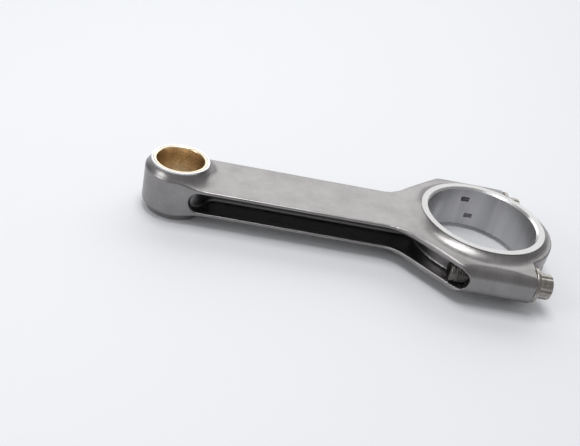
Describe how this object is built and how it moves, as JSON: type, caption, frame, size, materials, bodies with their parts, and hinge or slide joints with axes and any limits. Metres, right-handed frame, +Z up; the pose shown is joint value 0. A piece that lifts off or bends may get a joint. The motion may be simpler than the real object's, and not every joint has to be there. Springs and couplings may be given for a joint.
{
  "type": "connecting rod",
  "caption": "H-beam engine connecting rod with a bushed small end and a split big end, its cap held by twelve-point cap screws.",
  "frame": {"origin": "centre of the bounding box, at the level of the small end's lower face", "axes": "+X from the small end to the big end, +Z up along both bore axes, +Y to the rod's left"},
  "size_m": [0.2094, 0.0888, 0.0271],
  "materials": {
    "forged_steel": "shot-peened forging with machined faces and bore",
    "bronze": "satin bored bronze",
    "bolt_steel": "semi-bright, warm brown-grey",
    "sleeve_steel": "ground"
  },
  "bodies": {
    "rod": {"rod_body": "forged_steel", "small_end_bush": "bronze", "alignment_sleeve_left": "sleeve_steel", "alignment_sleeve_right": "sleeve_steel"},
    "cap": {"rod_cap": "forged_steel"},
    "bolt_left": {"cap_bolt_left": "bolt_steel"},
    "bolt_right": {"cap_bolt_right": "bolt_steel"}
  },
  "joints": [
    {"name": "cap_slide", "type": "slide", "parent": "rod", "child": "cap", "axis": [1, 0, 0], "range_m": [0, 0.01651]},
    {"name": "bolt_left_turn", "type": "hinge", "parent": "cap", "child": "bolt_left", "pos_m": [0.0887, 0.0358, 0.01355], "axis": [1, 0, 0], "range_deg": [0, 4680]},
    {"name": "bolt_right_turn", "type": "hinge", "parent": "cap", "child": "bolt_right", "pos_m": [0.0887, -0.0358, 0.01355], "axis": [1, 0, 0], "range_deg": [0, 4680]}
  ],
  "couplings": [
    {"joint": "bolt_left_turn", "follows": "cap_slide", "rad_per_m": 4947.4},
    {"joint": "bolt_right_turn", "follows": "cap_slide", "rad_per_m": 4947.4}
  ]
}
